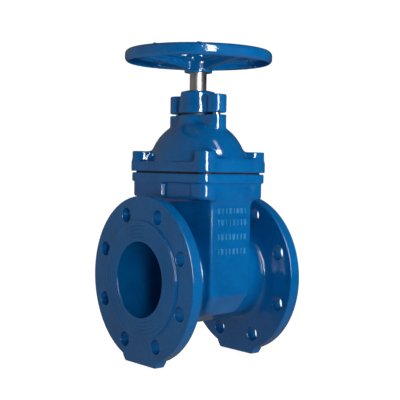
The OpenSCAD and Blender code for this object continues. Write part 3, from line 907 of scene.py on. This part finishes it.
def floor():
    """A round white table that fades into the white background."""
    table = bpy.data.objects.new("floor", bpy.data.meshes.new("floor"))
    radius, low = 0.75, FOOT_Z * MM
    table.data.from_pydata([(radius * math.cos(t), radius * math.sin(t), low)
                            for t in np.linspace(0, 2 * math.pi, 96, endpoint=False)], [], [tuple(range(96))])
    bpy.context.scene.collection.objects.link(table)
    g = Graph("white_table")
    g.join(g.mix(g.noise(60, 3), (0.18, 0.18, 0.18), (0.21, 0.21, 0.21)), g.shader.inputs["Base Color"])
    g.join(g.span(g.noise(20, 3), 0.3, 0.7, 0.5, 0.6), g.shader.inputs["Roughness"])
    g.set(Emission_Color=(1, 1, 1, 1), Emission_Strength=0.93)
    glow = g.add("ShaderNodeEmission")
    glow.inputs["Strength"].default_value = 1.05
    far = g.add("ShaderNodeVectorMath", operation="LENGTH")
    g.join(g.place, far.inputs[0])
    mix = g.add("ShaderNodeMixShader")
    g.join(g.span(far.outputs["Value"], 0.22, 0.60), mix.inputs[0])
    g.join(g.shader.outputs[0], mix.inputs[1])
    g.join(glow.outputs[0], mix.inputs[2])
    g.join(mix.outputs[0], next(n for n in g.tree.nodes if n.type == "OUTPUT_MATERIAL").inputs[0])
    table.data.materials.append(g.material)
    table.visible_diffuse = table.visible_glossy = False


def camera():
    """Level with the valve's chest, from the side of the inlet flange, rolled by a degree."""
    azimuth, elevation, roll = (math.radians(angle) for angle in (50.62, 2.094, 0.968))
    distance = 1.26292
    level = math.cos(elevation)
    back = Vector((-math.cos(azimuth) * level, -math.sin(azimuth) * level, math.sin(elevation)))
    right = (-back).cross(Vector((0, 0, 1))).normalized()
    up = right.cross(-back)
    place = Vector((0, 0, 0.103643)) + right * 0.005237 + back * distance
    side = math.cos(roll) * right + math.sin(roll) * up
    top = -math.sin(roll) * right + math.cos(roll) * up
    lens = bpy.data.cameras.new("camera")
    lens.sensor_width, lens.lens = 36, 83.05
    obj = bpy.data.objects.new("camera", lens)
    obj.matrix_world = Matrix((side, top, back)).transposed().to_4x4()
    obj.location = place
    bpy.context.scene.collection.objects.link(obj)
    bpy.context.scene.camera = obj


# ---------------------------------------------------------------- the scene

PAINT = blue_paint("blue_epoxy", (0.0003, 0.108, 0.330), (0.0008, 0.130, 0.390))
# A paler copy of the paint for the cast marks: a painted highlight, standing in for the light that their
# raised edges catch.
PALE_HIGHLIGHT_PAINT = blue_paint("blue_epoxy_marks_painted_highlight", (0.012, 0.18, 0.44), (0.035, 0.26, 0.55))
STEEL, ZINC, BRASS = stainless(), zinc(), brass_metal()
RUBBER, NYLON, MELT, IRON = rubber(), plastic(), hot_melt(), ductile_iron()

body(PAINT)
cast_marks(PALE_HIGHLIGHT_PAINT)
bonnet(PAINT)
gland(PAINT)
poured_plugs("bonnet_bolt_plugs", COUNTERBORE_R, PLUG_LOW.z, BOSS_Z, CORNERS, MELT, "bolt_seal_plugs")
poured_plugs("gland_lug_plugs", LUG_COUNTERBORE_R, GLAND_PLUG_LOW.z, GLAND_PLUG_HIGH.z,
             [(0, -LUG_Y), (0, LUG_Y)], MELT, "gland_bolt_plugs")
stem(STEEL)
handwheel(PAINT)
wheel_marks(PAINT)
wheel_bolt(ZINC)
wheel_washer(ZINC)
wedge_facing(RUBBER)

CARRIED = {
    "bonnet_gasket": RUBBER, "gland_seal_ring": RUBBER, "bush_o_rings": RUBBER, "stem_o_rings": RUBBER,
    "wiper_ring": RUBBER, "stem_back_seal": RUBBER, "bonnet_bolts": ZINC, "gland_bolts": ZINC,
    "lower_thrust_washer": NYLON, "upper_thrust_washer": NYLON, "wedge_guide_shoes": NYLON,
    "stem_bush": BRASS, "wedge_nut": BRASS, "wedge_core": IRON,
}
for node, material in CARRIED.items():
    obj = frame["nodes"][node]
    for slot in obj.material_slots:
        slot.link = "OBJECT"
        slot.material = material

world()
floor()
softbox("key", -111, 0, 1.25, 0.30, 1.5, 42, aim=(0, 0, 0.78)).visible_diffuse = False
softbox("overhead", -113, 58, 1.25, 0.06, 0.5, 1.2).visible_diffuse = False
softbox("side", -72, 12, 1.25, 0.6, 0.9, 10.8).visible_glossy = False
softbox("chest", -119, 0, 1.25, 0.2, 0.9, 6.9).visible_glossy = False
softbox("front", -172, -16, 1.25, 0.5, 0.7, 2.9).visible_glossy = False
softbox("top", -90, 60, 1.2, 0.9, 0.9, 1.0).visible_glossy = False
softbox("back", 62, 14, 1.25, 0.8, 0.9, 15).visible_glossy = False
camera()
bpy.context.scene.view_settings.view_transform = "Standard"
